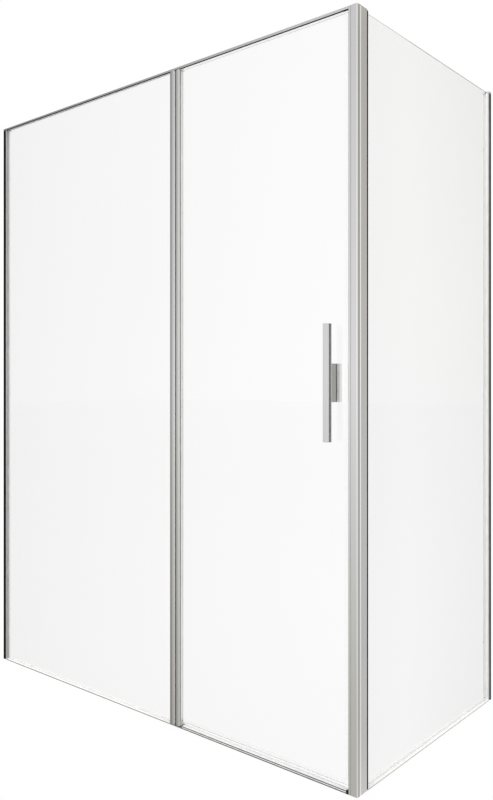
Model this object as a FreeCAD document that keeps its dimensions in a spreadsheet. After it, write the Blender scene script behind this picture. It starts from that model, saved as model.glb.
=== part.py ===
import FreeCAD, Part
import math
import os

import Sketcher

# Corner shower enclosure, in millimetres. A glazed front with a fixed pane and a pivot door meets a
# glazed side at a corner post. The origin lies on the floor, in the middle of the bounding box.
# +X runs along the front towards the corner post, +Y runs from the front to the back wall, +Z is up.

SIZES = {
    # Whole enclosure
    "overall_width": 1510.0,
    "overall_depth": 810.0,
    "overall_height": 1950.0,
    "profile_depth": 26.0,
    "lip_wall": 3.0,
    "chamber_wall": 2.0,
    "slot_relief": 1.0,
    "edge_radius": 0.8,
    # Toughened glass
    "glass_thickness": 6.0,
    "glass_arris": 0.6,
    # Wall channels, and the glazing profiles that slide in them
    "channel_leg": 8.8,
    "channel_web": 2.0,
    "channel_wall": 1.8,
    "slide_clearance": 0.2,
    "glazing_overlap": 6.2,
    "glazing_reach": 8.0,
    "glazing_wall": 1.6,
    "glazing_bite": 8.0,
    "inner_setback": 5.5,
    "gasket_lip": 1.0,
    "cap_clearance": 0.3,
    "wall_hole_radius": 2.5,
    "wall_hole_inset": 150.0,
    # Mullion beside the door
    "mullion_offset": 862.9,
    "mullion_width": 18.7,
    "mullion_bite": 9.0,
    "crown_radius": 62.0,
    "end_cap_thickness": 1.5,
    # Hinge stile and its off-centre pivots
    "pivot_gap": 1.0,
    "stile_width": 19.6,
    "nose_radius": 7.0,
    "stile_bite": 6.9,
    "turning_gap": 1.0,
    "head_gap": 1.5,
    "pin_radius": 2.5,
    "pin_clearance": 0.05,
    "pin_engagement": 18.0,
    "bush_radius": 3.5,
    "bush_clearance": 0.05,
    "bush_length": 20.0,
    "washer_radius": 5.0,
    "washer_thickness": 0.7,
    # Slim rail over the front
    "rail_height": 5.8,
    "rail_web": 2.0,
    "rail_lip": 1.2,
    "rail_seal_width": 5.2,
    "bracket_length": 40.0,
    "end_block_length": 20.0,
    # Corner post: a jamb for the door and a glazing post for the side pane
    "post_length": 47.0,
    "post_taper": 0.8,
    "post_wall": 2.0,
    "post_bite": 12.0,
    "post_cap_thickness": 2.0,
    "jamb_depth": 13.4,
    "jamb_tongue_depth": 20.0,
    "jamb_tongue_width": 14.0,
    "corner_radius": 2.5,
    "seam_radius": 0.8,
    "post_radius": 7.0,
    "jamb_groove_offset": 7.0,
    "jamb_groove_width": 1.2,
    "jamb_groove_depth": 1.2,
    "bead_length": 6.7,
    "bead_height": 9.2,
    # Sills and threshold
    "sill_height": 3.0,
    "bed_thickness": 2.0,
    "threshold_height": 9.0,
    "threshold_flat": 14.0,
    "threshold_back_height": 2.0,
    "threshold_radius": 0.4,
    "rib_spacing": 5.4,
    "rib_groove": 2.2,
    "rib_depth": 1.4,
    "sweep_clearance": 1.0,
    "end_seal_length": 6.5,
    "end_seal_crest": 3.0,
    "end_seal_fall": 14.0,
    # Door
    "closing_gap": 6.0,
    "door_bottom": 16.0,
    "door_top_gap": 4.0,
    "seal_leg": 10.0,
    "seal_wall": 1.2,
    "seal_contact_gap": 0.4,
    "fin_thickness": 1.6,
    "magnet_groove": 2.0,
    "magnet_proud": 1.0,
    "magnet_foot": 20.0,
    "magnet_head": 10.0,
    # Handle
    "handle_height": 1018.0,
    "handle_edge_gap": 33.8,
    "handle_width": 17.5,
    "handle_radius": 0.5,
    "block_radius": 0.5,
    "bar_length": 296.0,
    "bar_thickness": 13.2,
    "block_length": 97.0,
    "block_thickness": 20.4,
    "outer_washer": 3.5,
    "inner_washer": 1.5,
    "grip_thickness": 19.2,
    "bolt_spacing": 60.0,
    "bolt_radius": 3.0,
    "bolt_clearance": 0.1,
    "bolt_thread": 12.0,
    "bolt_head_radius": 5.0,
    "bolt_head_height": 4.0,
    "sleeve_radius": 6.0,
    "sleeve_clearance": 0.1,
}

WALL_HOLES = 4
FRONT_TURN = 0
SIDE_WALL_TURN = -90
SIDE_POST_TURN = 90
BACK_TURN = 180

# Shares of a gasket's thickness at the tip of its lip, and of a bead's height and length where it rounds
LIP_TIP_SHARE = 0.5
BEAD_TIP_SHARE = 0.85
BEAD_SHOULDER_SHARE = 0.9
# Share of the door seal's width at which the drip fin ends
FIN_TIP_SHARE = 0.3
# Share of an edge's length within which its ends are taken to lie on a corner
CORNER_MATCH_SHARE = 1e-6

doc = FreeCAD.newDocument("CornerShowerEnclosure")
sheet = doc.addObject("Spreadsheet::Sheet", "Sizes")


class Formula:
    """A length that keeps its number together with the sheet formula that it is bound by."""

    def __init__(self, text, value):
        self.text = text
        self.value = value

    def combine(self, sign, other, value):
        return Formula(f"({self.text} {sign} {text_of(other)})", value)

    def __add__(self, other):
        return self.combine("+", other, self.value + value_of(other))

    def __sub__(self, other):
        return self.combine("-", other, self.value - value_of(other))

    def __mul__(self, other):
        return self.combine("*", other, self.value * value_of(other))

    def __truediv__(self, other):
        return self.combine("/", other, self.value / value_of(other))

    def __neg__(self):
        return Formula(f"(0 - {self.text})", -self.value)

    def root(self):
        return Formula(f"sqrt({self.text})", math.sqrt(self.value))


def text_of(length):
    return length.text if isinstance(length, Formula) else str(length)


def value_of(length):
    return length.value if isinstance(length, Formula) else length


class Sizes:
    """The driving dimensions, each an attribute that names its cell of the sheet."""

    def __init__(self, table):
        for row, (name, number) in enumerate(table.items(), start=1):
            sheet.set(f"A{row}", name)
            sheet.set(f"B{row}", str(number))
            sheet.setAlias(f"B{row}", name)
            setattr(self, name, Formula(f"Sizes.{name}", number))


size = Sizes(SIZES)
doc.recompute()
pieces = []


def bind(owner, path, length):
    """Set a property, tied to the sheet when it has a formula."""
    if isinstance(length, Formula):
        owner.setExpression(path, length.text)


def place(body, spot, turn=FRONT_TURN):
    """Turn a body about its own vertical axis and bind its place."""
    turned = FreeCAD.Rotation(FreeCAD.Vector(0, 0, 1), turn)
    numbers = FreeCAD.Vector(*(value_of(length) for length in spot))
    body.Placement = FreeCAD.Placement(numbers, turned)
    for axis, length in zip("xyz", spot):
        bind(body, f"Placement.Base.{axis}", length)


def new_body(label):
    body = doc.addObject("PartDesign::Body", label)
    body.Label = label
    pieces.append(body)
    return body


def new_sketch(body, plane, name):
    sketch = body.newObject("Sketcher::SketchObject", name)
    support = next(item for item in body.Origin.OriginFeatures if item.Role == plane)
    sketch.AttachmentSupport = (support, [""])
    sketch.MapMode = "FlatFace"
    return sketch


def constrain(sketch, kind, parts, length):
    """Add a dimension, or a constraint to an axis where the length is zero."""
    index = sketch.addConstraint(Sketcher.Constraint(kind, *parts, value_of(length)))
    bind(sketch, f"Constraints[{index}]", length)


def fix_point(sketch, geometry, position, spot):
    """Bind a point's two coordinates."""
    for kind, axis, length in (("DistanceX", -2, spot[0]), ("DistanceY", -1, spot[1])):
        if isinstance(length, Formula):
            constrain(sketch, kind, (-1, 1, geometry, position), length)
        else:
            sketch.addConstraint(Sketcher.Constraint("PointOnObject", geometry, position, axis))


def outward_arc(start, end, radius):
    """An arc from start to end that bulges out of an outline drawn anticlockwise."""
    middle = (start + end) / 2
    chord = end - start
    inward = FreeCAD.Vector(-chord.y, chord.x, 0).normalize()
    centre = middle + inward * math.sqrt(radius**2 - (chord.Length / 2) ** 2)
    angles = [math.atan2(point.y - centre.y, point.x - centre.x) for point in (start, end)]
    return Part.ArcOfCircle(Part.Circle(centre, FreeCAD.Vector(0, 0, 1), radius), *angles)


def draw_outline(sketch, points):
    """A closed outline, drawn anticlockwise. A third value makes the side after a point an arc."""
    first = sketch.GeometryCount
    spots = [FreeCAD.Vector(value_of(point[0]), value_of(point[1]), 0) for point in points]
    for index, point in enumerate(points):
        start, end = spots[index], spots[(index + 1) % len(points)]
        if len(point) > 2:
            sketch.addGeometry(outward_arc(start, end, value_of(point[2])), False)
        else:
            sketch.addGeometry(Part.LineSegment(start, end), False)
    for index in range(len(points)):
        following = first + (index + 1) % len(points)
        sketch.addConstraint(Sketcher.Constraint("Coincident", first + index, 2, following, 1))
    for index, point in enumerate(points):
        fix_point(sketch, first + index, 1, point)
        if len(point) > 2:
            constrain(sketch, "Radius", (first + index,), point[2])


def draw_circle(sketch, centre, radius):
    spot = FreeCAD.Vector(value_of(centre[0]), value_of(centre[1]), 0)
    circle = Part.Circle(spot, FreeCAD.Vector(0, 0, 1), value_of(radius))
    index = sketch.addGeometry(circle, False)
    fix_point(sketch, index, 3, centre)
    constrain(sketch, "Radius", (index,), radius)


def rectangle(low_u, low_v, high_u, high_v):
    return [(low_u, low_v), (high_u, low_v), (high_u, high_v), (low_u, high_v)]


def pad(body, plane, length, outlines=(), circles=()):
    """Pad one sketch of outlines and circles off an origin plane of the body."""
    name = f"{body.Label}_section_{len(body.Group)}"
    sketch = new_sketch(body, plane, name)
    for outline in outlines:
        draw_outline(sketch, outline)
    for centre, radius in circles:
        draw_circle(sketch, centre, radius)
    feature = body.newObject("PartDesign::Pad", f"{name}_pad")
    feature.Profile = sketch
    bind(feature, "Length", length)
    doc.recompute()
    return feature


def cut(body, plane, depth, outlines=(), circles=(), reverse=False):
    """Pocket outlines and round holes, and make sure that they cut."""
    before = body.Shape.Volume
    sketch = new_sketch(body, plane, f"{body.Label}_cut_{len(body.Group)}")
    for outline in outlines:
        draw_outline(sketch, outline)
    for centre, radius in circles:
        draw_circle(sketch, centre, radius)
    pocket = body.newObject("PartDesign::Pocket", f"{sketch.Name}_pocket")
    pocket.Profile = sketch
    pocket.Reversed = reverse
    bind(pocket, "Length", depth)
    doc.recompute()
    if body.Shape.Volume >= before:
        raise RuntimeError(f"{body.Label}: the pocket cuts nothing")


def round_edges(body, base, radius, chosen):
    """Fillet the edges of a feature that a test picks out."""
    names = [f"Edge{i}" for i, edge in enumerate(base.Shape.Edges, start=1) if chosen(edge)]
    fillet = body.newObject("PartDesign::Fillet", f"{body.Label}_round_{len(body.Group)}")
    fillet.Base = (base, names)
    bind(fillet, "Radius", radius)
    doc.recompute()
    return fillet


def along_corner(corner, plane="XY_Plane"):
    """A test for the straight edge that a corner of a section leaves along its pad."""
    first, second = {"XY_Plane": ("x", "y"), "YZ_Plane": ("y", "z")}[plane]
    target = [value_of(length) for length in corner]

    def test(edge):
        ends = [vertex.Point for vertex in edge.Vertexes]
        reach = edge.Length * CORNER_MATCH_SHARE
        return len(ends) == 2 and all(
            math.hypot(getattr(end, first) - target[0], getattr(end, second) - target[1]) <= reach
            for end in ends
        )

    return test


def bevel(body, base, width):
    """Chamfer every edge of a plain block, as on ground glass."""
    names = [f"Edge{i}" for i in range(1, len(base.Shape.Edges) + 1)]
    chamfer = body.newObject("PartDesign::Chamfer", f"{body.Label}_arris")
    chamfer.Base = (base, names)
    bind(chamfer, "Size", width)
    doc.recompute()
    return chamfer


# Planes and lines that the pieces share
glass_inset = (size.profile_depth - size.glass_thickness) / 2
glass_back = glass_inset + size.glass_thickness
handle_stack = size.outer_washer + size.block_thickness + size.bar_thickness
handle_projection = handle_stack - glass_inset
left = -(size.overall_width / 2)
right = size.overall_width / 2
front = (handle_projection - size.overall_depth) / 2
back = front + size.overall_depth
rail_bottom = size.overall_height - size.rail_height
wall_reach = size.channel_leg + size.glazing_reach
mullion_left = left + size.mullion_offset
mullion_right = mullion_left + size.mullion_width
stile_left = mullion_right + size.pivot_gap
stile_right = stile_left + size.stile_width
pivot_x = stile_left + size.nose_radius
pivot_y = front + size.nose_radius
jamb_left = right - size.profile_depth
door_left = stile_right - size.stile_bite
door_right = jamb_left - size.closing_gap
bed_top = size.sill_height + size.bed_thickness
door_top = rail_bottom - size.door_top_gap
rail_depth = glass_back
groove_depth = size.rail_height - size.rail_web
lip_gasket = glass_inset - size.lip_wall


def crown_sag(width):
    """How far the crowned face of a profile falls back at its edges."""
    half = width / 2
    return size.crown_radius - (size.crown_radius * size.crown_radius - half * half).root()


def slotted_section(width, slot_depth, opens_right):
    """A crowned box section with a glazing slot in one side, as an outline drawn anticlockwise."""
    crown, sag = size.crown_radius, crown_sag(width)
    front_line, back_line = sag, size.profile_depth - sag
    low, high = size.lip_wall, size.profile_depth - size.lip_wall
    if opens_right:
        bottom, inner = width - slot_depth, width - size.inner_setback
        back_line = size.profile_depth - crown_sag(inner)
        slot = [(width, low), (bottom, low), (bottom, high), (inner, high)]
        return [(0, front_line, crown), (width, front_line), *slot, (inner, back_line, crown), (0, back_line)]
    slot = [(0, high), (slot_depth, high), (slot_depth, low), (0, low)]
    return [(0, front_line, crown), (width, front_line), (width, back_line, crown), (0, back_line), *slot]


def gasket(label, thickness, depth, length, spot, turn, glass_first, lip=None, height=None):
    """A glazing gasket: it fills the slot beside the glass and ends in a lip along the pane."""
    reach = depth + (lip or size.gasket_lip)
    if height is None:
        nose = [(reach, thickness * LIP_TIP_SHARE), (depth, thickness)]
    else:
        shoulder = depth + size.bead_length * BEAD_SHOULDER_SHARE
        nose = [(reach, height * BEAD_TIP_SHARE), (shoulder, height), (depth, height), (depth, thickness)]
    outline = [(0, 0), (reach, 0), *nose, (0, thickness)]
    if not glass_first:
        mirrored = [(u, thickness - v if isinstance(v, Formula) else thickness) for u, v in outline]
        outline = [(u, 0 if v.value == 0 else v) for u, v in reversed(mirrored)]
    body = new_body(label)
    pad(body, "XY_Plane", length, [outline])
    place(body, spot, turn)


def pane(label, width, height, spot, turn=FRONT_TURN):
    """A toughened pane, standing along the local X axis, with ground edges."""
    body = new_body(label)
    base = pad(body, "XY_Plane", height, [rectangle(0, 0, width, size.glass_thickness)])
    bevel(body, base, size.glass_arris)
    place(body, spot, turn)
    return body


def wall_set(name, turn, corner, height, inner):
    """Channel, sliding glazing profile, gaskets and cap at one wall, drawn outwards from the wall.

    The profile's lip on its inner side, low or high, is shorter than the outer one.
    """

    def spot(out, across, up):
        x, y = corner
        if turn == FRONT_TURN:
            return (x + out, y + across, up)
        return (x + across, y - out, up)

    depth, wall, web = size.profile_depth, size.channel_wall, size.channel_web
    channel = new_body(f"wall_channel_{name}")
    far = depth - wall
    inside = [(size.channel_leg, wall), (web, wall), (web, far), (size.channel_leg, far)]
    outline = [(0, 0), (size.channel_leg, 0), *inside, (size.channel_leg, depth), (0, depth)]
    base = pad(channel, "XY_Plane", height, [outline])
    corners = [along_corner((size.channel_leg, 0)), along_corner((size.channel_leg, depth))]
    round_edges(channel, base, size.edge_radius, lambda edge: any(test(edge) for test in corners))
    step = (height - size.wall_hole_inset * 2) / (WALL_HOLES - 1)
    heights = [size.wall_hole_inset + step * index for index in range(WALL_HOLES)]
    holes = [((depth / 2, up), size.wall_hole_radius) for up in heights]
    cut(channel, "YZ_Plane", web, circles=holes, reverse=True)
    place(channel, spot(0, 0, 0), turn)

    offset = wall + size.slide_clearance
    across = depth - offset * 2
    run = size.glazing_overlap + size.glazing_reach
    skin = size.glazing_wall
    profile = new_body(f"glazing_profile_{name}")
    ends, bites = {"low": run, "high": run}, {"low": size.glazing_bite, "high": size.glazing_bite}
    ends[inner], bites[inner] = run - size.inner_setback, size.glazing_bite - size.inner_setback
    pocket = [(ends["low"], skin), (skin, skin), (skin, across - skin), (ends["high"], across - skin)]
    outline = [(0, 0), (ends["low"], 0), *pocket, (ends["high"], across), (0, across)]
    base = pad(profile, "XY_Plane", height, [outline])
    corners = [along_corner((ends["low"], 0)), along_corner((ends["high"], across))]
    round_edges(profile, base, size.edge_radius, lambda edge: any(test(edge) for test in corners))
    place(profile, spot(size.channel_leg - size.glazing_overlap, offset, 0), turn)

    thickness = glass_inset - offset - skin
    start = wall_reach - size.glazing_bite
    foot = size.sill_height
    low, high = spot(start, offset + skin, foot), spot(start, glass_back, foot)
    length = height - foot
    gasket(f"glazing_gasket_{name}_low", thickness, bites["low"], length, low, turn, False)
    gasket(f"glazing_gasket_{name}_high", thickness, bites["high"], length, high, turn, True)

    cap = new_body(f"wall_cap_{name}")
    near, away = glass_inset - size.cap_clearance, glass_back + size.cap_clearance
    notch = start - size.cap_clearance
    slot = [(wall_reach, near), (notch, near), (notch, away), (wall_reach, away)]
    outline = [(0, 0), (wall_reach, 0), *slot, (wall_reach, depth), (0, depth)]
    pad(cap, "XY_Plane", size.overall_height - height, [outline])
    place(cap, spot(0, 0, height), turn)


def make_walls():
    wall_set("front", FRONT_TURN, (left, front), rail_bottom, "high")
    wall_set("side", SIDE_WALL_TURN, (jamb_left, back), rail_bottom, "low")


def make_panes():
    """The fixed front pane and the side pane, with the strips that they stand on."""
    fixed_left = left + wall_reach - size.glazing_bite
    fixed_width = mullion_left + size.mullion_bite - fixed_left
    fixed_spot = (fixed_left, front + glass_inset, bed_top)
    pane("fixed_glass", fixed_width, rail_bottom - bed_top, fixed_spot)

    side_start = front + size.post_length - size.post_bite
    side_end = back - wall_reach + size.glazing_bite
    side_spot = (right - glass_inset, side_start, bed_top)
    pane("side_glass", side_end - side_start, size.overall_height - bed_top, side_spot, SIDE_POST_TURN)

    runs = {
        "fixed": (mullion_left - left - wall_reach, (left + wall_reach, front), FRONT_TURN),
        "side": (
            size.overall_depth - wall_reach - size.post_length,
            (right, front + size.post_length),
            SIDE_POST_TURN,
        ),
    }
    for name, (length, (x, y), turn) in runs.items():
        sill = new_body(f"{name}_sill")
        pad(sill, "YZ_Plane", length, [rectangle(0, 0, size.profile_depth, size.sill_height)])
        place(sill, (x, y, 0), turn)
        bed = new_body(f"{name}_bed_strip")
        pad(bed, "YZ_Plane", length, [rectangle(0, 0, size.glass_thickness, size.bed_thickness)])
        if turn == FRONT_TURN:
            place(bed, (x, y + glass_inset, size.sill_height), turn)
        else:
            place(bed, (x - glass_inset, y, size.sill_height), turn)


def make_mullion():
    """The post between the fixed pane and the door, with its gaskets and its top cap."""
    width, depth = size.mullion_width, size.profile_depth
    slot_depth = size.mullion_bite + size.slot_relief
    outline = slotted_section(width, slot_depth, opens_right=False)
    wall = size.chamber_wall
    chamber = rectangle(slot_depth + wall, wall, width - wall, depth - wall)
    height = rail_bottom - size.end_cap_thickness - size.sill_height
    body = new_body("mullion")
    base = pad(body, "XY_Plane", height, [outline, chamber])
    corners = [along_corner(outline[index]) for index in range(4)]
    round_edges(body, base, size.edge_radius, lambda edge: any(test(edge) for test in corners))
    place(body, (mullion_left, front, size.sill_height))

    cap = new_body("mullion_cap")
    pad(cap, "XY_Plane", size.end_cap_thickness, [outline])
    place(cap, (mullion_left, front, rail_bottom - size.end_cap_thickness))

    slot_end = mullion_left + size.mullion_bite
    outer, inner = front + glass_inset, front + depth - size.lip_wall
    foot = size.sill_height
    bite, length = size.mullion_bite, rail_bottom - foot
    gasket("mullion_gasket_outer", lip_gasket, bite, length, (slot_end, outer, foot), BACK_TURN, True)
    gasket("mullion_gasket_inner", lip_gasket, bite, length, (slot_end, inner, foot), BACK_TURN, False)


def make_corner():
    """The corner post: door jamb with magnet strip, side glazing post, gaskets and cap."""
    depth, wall = size.profile_depth, size.post_wall
    height = size.overall_height - size.post_cap_thickness
    groove, half_groove = size.jamb_groove_offset, size.jamb_groove_width / 2
    magnet = size.magnet_groove
    step, seam = size.jamb_tongue_width, size.jamb_depth
    tongue = size.jamb_tongue_depth
    near_side, far_side, deep = groove - half_groove, groove + half_groove, size.jamb_groove_depth
    face_groove = [(near_side, 0), (near_side, deep), (far_side, deep), (far_side, 0)]
    back_step = [(depth, seam), (step, seam), (step, tongue), (0, tongue)]
    magnet_slot = [(0, glass_back), (magnet, glass_back), (magnet, glass_inset), (0, glass_inset)]
    outline = [(0, 0), *face_groove, (depth, 0), *back_step, *magnet_slot]
    chamber = rectangle(magnet + wall, wall + size.jamb_groove_depth, depth - wall, seam - wall)
    jamb = new_body("corner_jamb")
    base = pad(jamb, "XY_Plane", height, [outline, chamber])
    base = round_edges(jamb, base, size.corner_radius, along_corner((depth, 0)))
    base = round_edges(jamb, base, size.seam_radius, along_corner((depth, seam)))
    round_edges(jamb, base, size.edge_radius, along_corner((0, 0)))
    seat = rectangle(size.rail_lip, rail_bottom, glass_inset, rail_bottom + groove_depth)
    cut(jamb, "YZ_Plane", magnet + wall, [seat], reverse=True)
    place(jamb, (jamb_left, front, 0))

    length, lip = size.post_length, size.lip_wall
    slot_bottom = length - size.post_bite - size.slot_relief
    slot = [(depth - lip, length), (depth - lip, slot_bottom), (lip, slot_bottom), (lip, length)]
    far_face = depth - size.post_taper
    outline = [(depth, seam), (far_face, length), *slot, (0, length), (0, tongue), (step, tongue), (step, seam)]
    chamber = rectangle(wall, tongue + wall, far_face - wall, slot_bottom - wall)
    post = new_body("side_post")
    base = pad(post, "XY_Plane", height, [outline, chamber])
    base = round_edges(post, base, size.post_radius, along_corner((depth, seam)))
    corners = [along_corner((far_face, length)), along_corner((0, length))]
    round_edges(post, base, size.edge_radius, lambda edge: any(test(edge) for test in corners))
    place(post, (jamb_left, front, 0))

    cap = new_body("corner_cap")
    near, away = glass_inset - size.cap_clearance, glass_back + size.cap_clearance
    notch = [(away, length), (away, slot_bottom), (near, slot_bottom), (near, length)]
    outline = [(0, 0), (depth, 0), (depth, length), *notch, (0, length)]
    base = pad(cap, "XY_Plane", size.post_cap_thickness, [outline])
    round_edges(cap, base, size.corner_radius, along_corner((depth, 0)))
    place(cap, (jamb_left, front, height))

    strip = new_body("jamb_magnet")
    foot, head = size.threshold_height + size.magnet_foot, rail_bottom - size.magnet_head
    section = rectangle(0, 0, magnet + size.magnet_proud, size.glass_thickness)
    pad(strip, "XY_Plane", head - foot, [section])
    place(strip, (jamb_left - size.magnet_proud, front + glass_inset, foot))

    start, foot = front + length - size.post_bite, size.sill_height
    outer, inner = (right - lip, start, foot), (right - glass_back, start, foot)
    bite, run = size.post_bite, height - foot
    bead = (size.bead_length, size.bead_height)
    gasket("side_gasket_outer", lip_gasket, bite, run, outer, SIDE_POST_TURN, False, *bead)
    gasket("side_gasket_inner", lip_gasket, bite, run, inner, SIDE_POST_TURN, True)


def make_rail():
    """The slim rail over the front, with the seal strips and blocks that fill its groove."""
    start = left + wall_reach
    lip, deep = size.rail_lip, groove_depth
    groove = [(lip, 0), (lip, deep), (glass_inset, deep), (glass_inset, 0)]
    outline = [(0, 0), *groove, (rail_depth, 0), (rail_depth, size.rail_height), (0, size.rail_height)]
    rail = new_body("top_rail")
    base = pad(rail, "YZ_Plane", jamb_left - start, [outline])
    corner = along_corner((0, size.rail_height), "YZ_Plane")
    round_edges(rail, base, size.edge_radius, corner)
    place(rail, (start, front, rail_bottom))

    bracket_start = pivot_x - size.bracket_length / 2
    bracket_end = pivot_x + size.bracket_length / 2
    block_start = jamb_left - size.end_block_length
    whole = glass_inset - lip
    seal, filler = (0, size.rail_seal_width), (size.rail_seal_width, whole)
    stretches = {
        "rail_seal_fixed": (start, bracket_start, seal),
        "rail_seal_door": (bracket_end, block_start, seal),
        "rail_filler_fixed": (start, bracket_start, filler),
        "rail_filler_door": (bracket_end, block_start, filler),
        "rail_end_block": (block_start, jamb_left + size.magnet_groove + size.post_wall, (0, whole)),
    }
    for label, (begin, end, (near, far)) in stretches.items():
        body = new_body(label)
        pad(body, "YZ_Plane", end - begin, [rectangle(near, 0, far, deep)])
        place(body, (begin, front + lip, rail_bottom))

    bracket = new_body("top_pivot_bracket")
    plan = rectangle(0, 0, size.bracket_length, glass_inset - lip)
    bore = ((size.bracket_length / 2, size.nose_radius - lip), size.pin_radius + size.pin_clearance)
    pad(bracket, "XY_Plane", deep, [plan], [bore])
    place(bracket, (bracket_start, front + lip, rail_bottom))


def make_pivots():
    """Pins at the head and foot of the door, with the foot plate and its washer."""
    sweep_x, sweep_y = size.stile_width - size.nose_radius, size.profile_depth - size.nose_radius
    sweep = (sweep_x * sweep_x + sweep_y * sweep_y).root() + size.sweep_clearance
    foot_end = pivot_x + sweep
    foot = new_body("pivot_foot")
    plan = rectangle(0, 0, foot_end - mullion_left, size.profile_depth)
    bore = ((pivot_x - mullion_left, size.nose_radius), size.pin_radius + size.pin_clearance)
    pad(foot, "XY_Plane", size.sill_height, [plan], [bore])
    place(foot, (mullion_left, front, 0))

    caps = size.end_cap_thickness + size.pin_engagement
    head_reach = groove_depth + size.head_gap + caps
    foot_reach = size.sill_height + size.turning_gap + caps
    pins = {
        "top_pivot_pin": (rail_bottom + groove_depth - head_reach, head_reach),
        "bottom_pivot_pin": (0, foot_reach),
    }
    for label, (bottom, length) in pins.items():
        pin = new_body(label)
        pad(pin, "XY_Plane", length, circles=[((0, 0), size.pin_radius)])
        place(pin, (pivot_x, pivot_y, bottom))

    washer = new_body("thrust_washer")
    inner = size.pin_radius + size.pin_clearance
    pad(washer, "XY_Plane", size.washer_thickness, circles=[((0, 0), size.washer_radius), ((0, 0), inner)])
    place(washer, (pivot_x, pivot_y, size.sill_height))

    seal_start = jamb_left - size.end_seal_length
    high, flat, depth = size.threshold_height, size.threshold_flat, size.profile_depth
    ridge = [(depth, 0), (depth, size.threshold_back_height), (flat, high), (0, high)]
    half, ribbed = size.rib_groove / 2, []
    for middle in (high / 2 + size.rib_spacing / 2, high / 2 - size.rib_spacing / 2):
        ribbed += [(0, middle + half), (size.rib_depth, middle), (0, middle - half)]
    threshold = new_body("threshold")
    base = pad(threshold, "YZ_Plane", seal_start - foot_end, [[(0, 0), *ridge, *ribbed]])
    round_edges(threshold, base, size.threshold_radius, along_corner((0, high), "YZ_Plane"))
    place(threshold, (foot_end, front, 0))
    seal = new_body("threshold_end_seal")
    low, crest, fall = size.threshold_back_height, size.end_seal_crest, size.end_seal_fall
    slope = [(0, 0), (depth, 0), (depth, low), (fall, low), (crest, high), (0, high)]
    base = pad(seal, "YZ_Plane", size.end_seal_length, [slope])
    round_edges(seal, base, size.threshold_radius, along_corner((0, high), "YZ_Plane"))
    place(seal, (seal_start, front, 0))


def make_stile():
    """The hollow hinge stile: a round nose about the pivot, bushes, end caps and gaskets."""
    width, depth, wall = size.stile_width, size.profile_depth, size.chamber_wall
    slot_depth = size.stile_bite + size.slot_relief
    bottom = size.sill_height + size.turning_gap
    top = rail_bottom - size.head_gap
    low, high = bottom + size.end_cap_thickness, top - size.end_cap_thickness
    pivot = (size.nose_radius, size.nose_radius)
    outline = slotted_section(width, slot_depth, opens_right=True)
    chamber_front = size.nose_radius + size.bush_radius + wall
    chamber = rectangle(wall, chamber_front, width - slot_depth - wall, depth - wall)
    body = new_body("hinge_stile")
    base = pad(body, "XY_Plane", high - low, [outline, chamber], [(pivot, size.bush_radius)])
    base = round_edges(body, base, size.nose_radius, along_corner(outline[0]))
    corners = [along_corner(outline[index]) for index in (1, 6, 7)]
    round_edges(body, base, size.edge_radius, lambda edge: any(test(edge) for test in corners))
    place(body, (stile_left, front, low))

    crown, sag = size.crown_radius, crown_sag(width)
    crowned = [(0, sag, crown), (width, sag), (width, depth - sag, crown), (0, depth - sag)]
    for label, foot in (("stile_cap_bottom", bottom), ("stile_cap_top", high)):
        cap = new_body(label)
        base = pad(cap, "XY_Plane", size.end_cap_thickness, [crowned], [(pivot, size.bush_radius)])
        round_edges(cap, base, size.nose_radius, along_corner(crowned[0]))
        place(cap, (stile_left, front, foot))

    outer, inner = size.bush_radius - size.bush_clearance, size.pin_radius + size.pin_clearance
    for label, foot in (("bottom_bush", low), ("top_bush", high - size.bush_length)):
        bush = new_body(label)
        pad(bush, "XY_Plane", size.bush_length, circles=[((0, 0), outer), ((0, 0), inner)])
        place(bush, (pivot_x, pivot_y, foot))

    near, away = front + size.lip_wall, front + glass_back
    foot, bite = size.door_bottom, size.stile_bite
    inner_bite, length = bite - size.inner_setback, door_top - foot
    gasket("stile_gasket_outer", lip_gasket, bite, length, (door_left, near, foot), FRONT_TURN, False)
    gasket("stile_gasket_inner", lip_gasket, inner_bite, length, (door_left, away, foot), FRONT_TURN, True)


def handle_heights():
    """Heights of the two handle bolts."""
    half = size.bolt_spacing / 2
    return {"lower": size.handle_height - half, "upper": size.handle_height + half}


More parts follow.
